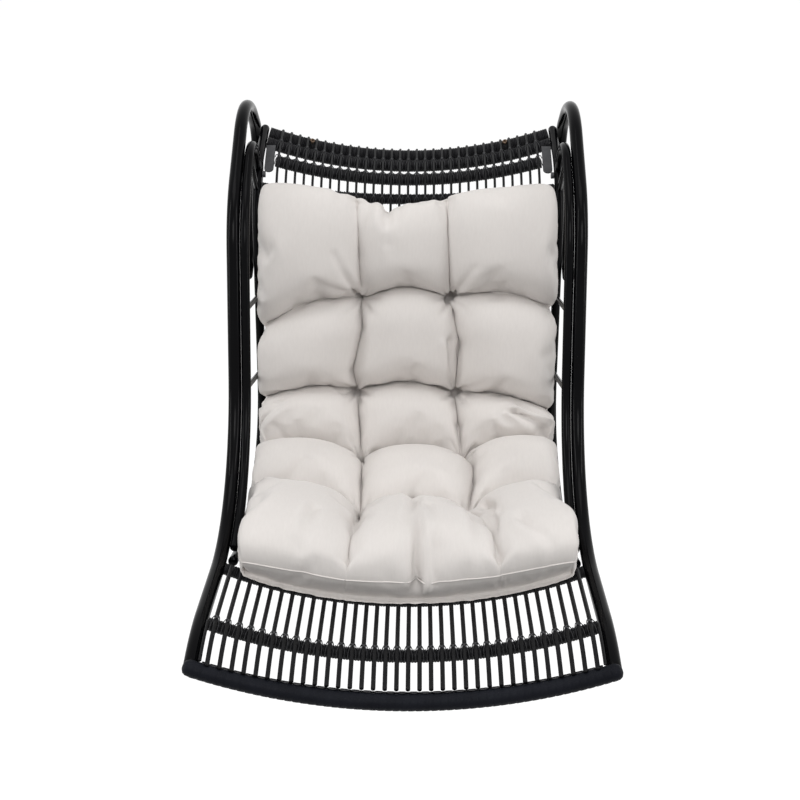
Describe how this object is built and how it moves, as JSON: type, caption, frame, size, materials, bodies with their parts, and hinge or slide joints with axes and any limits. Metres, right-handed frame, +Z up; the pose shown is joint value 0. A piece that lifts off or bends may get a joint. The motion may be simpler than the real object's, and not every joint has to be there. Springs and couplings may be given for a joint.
{
  "type": "hanging egg chair",
  "caption": "Seat of a hanging egg chair: black bent-rod shell between two looped tube sides, with a tufted cushion.",
  "frame": {"origin": "midway between the tops of the two outer hoops' centrelines, the line that the suspension holds", "axes": "+X to the right seen from the front, +Y to the back of the seat, +Z up"},
  "size_m": [0.682, 1.1847, 0.7653],
  "materials": {
    "frame_black": "glossy black powder coat",
    "strand_black": "satin black synthetic rattan rod",
    "bracket_grey": "satin dark grey paint",
    "nut_brass": "dull bronze-coloured plating",
    "cushion_cloth": "pale warm grey woven polyester"
  },
  "bodies": {
    "root": {"outer_hoop_left": "frame_black", "outer_hoop_right": "frame_black", "inner_hoop_left": "frame_black", "inner_hoop_right": "frame_black", "side_tube_left": "frame_black", "side_tube_right": "frame_black", "hoop_struts_left": "frame_black", "hoop_struts_right": "frame_black", "front_cap_left": "frame_black", "front_cap_right": "frame_black", "front_rail": "frame_black", "front_seat_rail": "frame_black", "middle_seat_rail": "frame_black", "bowl_rail": "frame_black", "rear_seat_rail": "frame_black", "back_rail": "frame_black", "upper_back_rail": "frame_black", "third_rail": "frame_black", "second_rail": "frame_black", "top_rail": "frame_black", "front_strands": "strand_black", "edge_rods": "strand_black", "seat_strands": "strand_black", "back_strands": "strand_black", "corner_bracket_left": "bracket_grey", "corner_bracket_right": "bracket_grey", "bracket_bolts": "bracket_grey", "top_rail_nuts": "nut_brass", "cushion": "cushion_cloth"}
  },
  "joints": []
}
